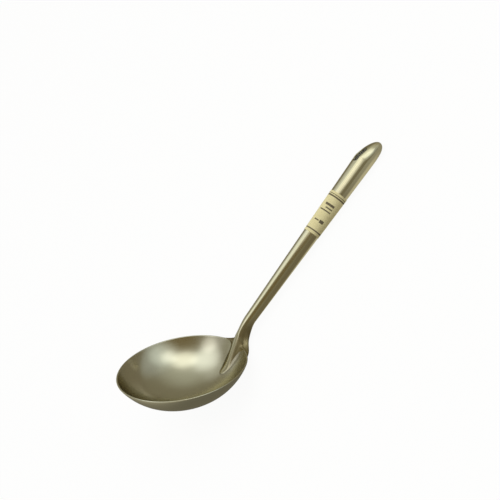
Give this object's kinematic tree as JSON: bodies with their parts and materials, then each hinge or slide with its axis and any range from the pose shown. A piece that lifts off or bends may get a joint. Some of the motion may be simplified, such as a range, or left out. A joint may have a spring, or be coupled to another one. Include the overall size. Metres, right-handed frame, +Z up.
{
  "type": "soup ladle",
  "caption": "Soup ladle with a round pressed bowl, a tapered hollow handle welded over its rim, a hanging slot in the handle's slanted nose and a paper band on the grip.",
  "frame": {"origin": "middle of the footprint, on the table that the ladle lies on", "axes": "+X along the handle towards its tip, +Z up, the ladle's plane of symmetry is Y = 0"},
  "size_m": [0.2424, 0.0902, 0.0593],
  "materials": {
    "bowl_steel": "satin polished stainless steel",
    "handle_steel": "satin polished stainless steel, brushed along the handle",
    "weld_steel": "ground and polished weld",
    "band_paper": "uncoated cream paper with plain printed rules and bars"
  },
  "bodies": {
    "root": {"bowl": "bowl_steel", "handle": "handle_steel", "root_weld": "weld_steel", "paper_band": "band_paper"}
  },
  "joints": []
}
